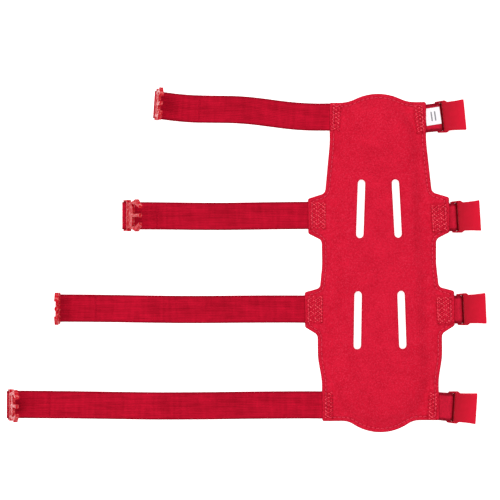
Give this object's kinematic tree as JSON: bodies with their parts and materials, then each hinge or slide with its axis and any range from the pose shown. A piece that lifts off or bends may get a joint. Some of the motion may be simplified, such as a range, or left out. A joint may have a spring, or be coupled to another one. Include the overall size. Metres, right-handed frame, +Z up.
{
  "type": "archery arm guard",
  "caption": "Long slotted arm guard with a padded lining, elastic straps ending in male clips, and web loops carrying the buckle receivers.",
  "frame": {"origin": "centre of the pad on its outer face, which lies on the ground", "axes": "+Z up through the lining towards the arm, +Y along the pad to the wrist end, +X to the side with the buckle receivers"},
  "size_m": [0.3502, 0.252, 0.0228],
  "materials": {
    "outer_cloth": "woven nylon, red",
    "velour": "brushed velour, crimson",
    "foam": "closed-cell foam sheet",
    "elastic": "ribbed elastic webbing, dark red",
    "webbing": "flat woven webbing, dark red",
    "thread": "polyester thread, red",
    "buckle_plastic": "moulded acetal, red",
    "clip_plastic": "moulded acetal, bright red",
    "satin": "white satin ribbon"
  },
  "bodies": {
    "guard": {"outer_face": "outer_cloth", "foam_core": "foam", "lining": "velour", "edge_stitching": "thread", "wrist_strap_root": "elastic", "wrist_strap_tack": "thread", "wrist_loop_root": "webbing", "wrist_loop_tack": "thread", "forearm_strap_root": "elastic", "forearm_strap_tack": "thread", "forearm_loop_root": "webbing", "forearm_loop_tack": "thread", "elbow_strap_root": "elastic", "elbow_strap_tack": "thread", "elbow_loop_root": "webbing", "elbow_loop_tack": "thread", "upper_arm_strap_root": "elastic", "upper_arm_strap_tack": "thread", "upper_arm_loop_root": "webbing", "upper_arm_loop_tack": "thread"},
    "wrist_strap": {"wrist_strap": "elastic", "wrist_strap_bartack": "thread"},
    "wrist_clip": {"wrist_clip": "clip_plastic"},
    "forearm_strap": {"forearm_strap": "elastic", "forearm_strap_bartack": "thread"},
    "forearm_clip": {"forearm_clip": "clip_plastic"},
    "elbow_strap": {"elbow_strap": "elastic", "elbow_strap_bartack": "thread"},
    "elbow_clip": {"elbow_clip": "clip_plastic"},
    "upper_arm_strap": {"upper_arm_strap": "elastic", "upper_arm_strap_bartack": "thread"},
    "upper_arm_clip": {"upper_arm_clip": "clip_plastic"},
    "wrist_loop": {"wrist_loop": "webbing", "care_label": "satin"},
    "wrist_receiver": {"wrist_receiver": "buckle_plastic"},
    "forearm_loop": {"forearm_loop": "webbing"},
    "forearm_receiver": {"forearm_receiver": "buckle_plastic"},
    "elbow_loop": {"elbow_loop": "webbing"},
    "elbow_receiver": {"elbow_receiver": "buckle_plastic"},
    "upper_arm_loop": {"upper_arm_loop": "webbing"},
    "upper_arm_receiver": {"upper_arm_receiver": "buckle_plastic"}
  },
  "joints": [
    {"name": "wrist_strap_fold", "type": "hinge", "parent": "guard", "child": "wrist_strap", "pos_m": [-0.0352, 0.1068, 0.0031], "axis": [0, 1, 0], "range_deg": [0, 150]},
    {"name": "wrist_clip_swivel", "type": "hinge", "parent": "wrist_strap", "child": "wrist_clip", "pos_m": [-0.1608, 0.1169, 0.00238], "axis": [0.0802, 0.9968, 0], "range_deg": [-201, 39]},
    {"name": "forearm_strap_fold", "type": "hinge", "parent": "guard", "child": "forearm_strap", "pos_m": [-0.0515, 0.0352, 0.0031], "axis": [0, 1, 0], "range_deg": [0, 150]},
    {"name": "forearm_clip_swivel", "type": "hinge", "parent": "forearm_strap", "child": "forearm_clip", "pos_m": [-0.1847, 0.0363, 0.00238], "axis": [0.0083, 1, 0], "range_deg": [-226, 14]},
    {"name": "elbow_strap_fold", "type": "hinge", "parent": "guard", "child": "elbow_strap", "pos_m": [-0.0545, -0.0331, 0.0031], "axis": [0, 1, 0], "range_deg": [0, 150]},
    {"name": "elbow_clip_swivel", "type": "hinge", "parent": "elbow_strap", "child": "elbow_clip", "pos_m": [-0.2341, -0.0306, 0.00238], "axis": [0.0139, 0.9999, 0], "range_deg": [-191, 49]},
    {"name": "upper_arm_strap_fold", "type": "hinge", "parent": "guard", "child": "upper_arm_strap", "pos_m": [-0.0426, -0.1031, 0.0031], "axis": [0, 1, 0], "range_deg": [0, 150]},
    {"name": "upper_arm_clip_swivel", "type": "hinge", "parent": "upper_arm_strap", "child": "upper_arm_clip", "pos_m": [-0.2702, -0.1005, 0.00238], "axis": [0.0114, 0.9999, 0], "range_deg": [-212, 28]},
    {"name": "wrist_loop_fold", "type": "hinge", "parent": "guard", "child": "wrist_loop", "pos_m": [0.0352, 0.105, 0.004], "axis": [0, -1, 0], "range_deg": [0, 75]},
    {"name": "wrist_receiver_swivel", "type": "hinge", "parent": "wrist_loop", "child": "wrist_receiver", "pos_m": [0.0438, 0.10578, 0.00338], "axis": [0.0906, -0.9959, 0], "range_deg": [-60, 85]},
    {"name": "forearm_loop_fold", "type": "hinge", "parent": "guard", "child": "forearm_loop", "pos_m": [0.0515, 0.0328, 0.004], "axis": [0, -1, 0], "range_deg": [0, 75]},
    {"name": "forearm_receiver_swivel", "type": "hinge", "parent": "forearm_loop", "child": "forearm_receiver", "pos_m": [0.0541, 0.03294, 0.00338], "axis": [0.0523, -0.9986, 0], "range_deg": [-60, 85]},
    {"name": "elbow_loop_fold", "type": "hinge", "parent": "guard", "child": "elbow_loop", "pos_m": [0.0545, -0.0345, 0.004], "axis": [0, -1, 0], "range_deg": [0, 75]},
    {"name": "elbow_receiver_swivel", "type": "hinge", "parent": "elbow_loop", "child": "elbow_receiver", "pos_m": [0.0576, -0.03439, 0.00338], "axis": [0.0349, -0.9994, 0], "range_deg": [-60, 85]},
    {"name": "upper_arm_loop_fold", "type": "hinge", "parent": "guard", "child": "upper_arm_loop", "pos_m": [0.0426, -0.1048, 0.004], "axis": [0, -1, 0], "range_deg": [0, 75]},
    {"name": "upper_arm_receiver_swivel", "type": "hinge", "parent": "upper_arm_loop", "child": "upper_arm_receiver", "pos_m": [0.05, -0.10533, 0.00338], "axis": [-0.0715, -0.9974, 0], "range_deg": [-60, 85]}
  ]
}
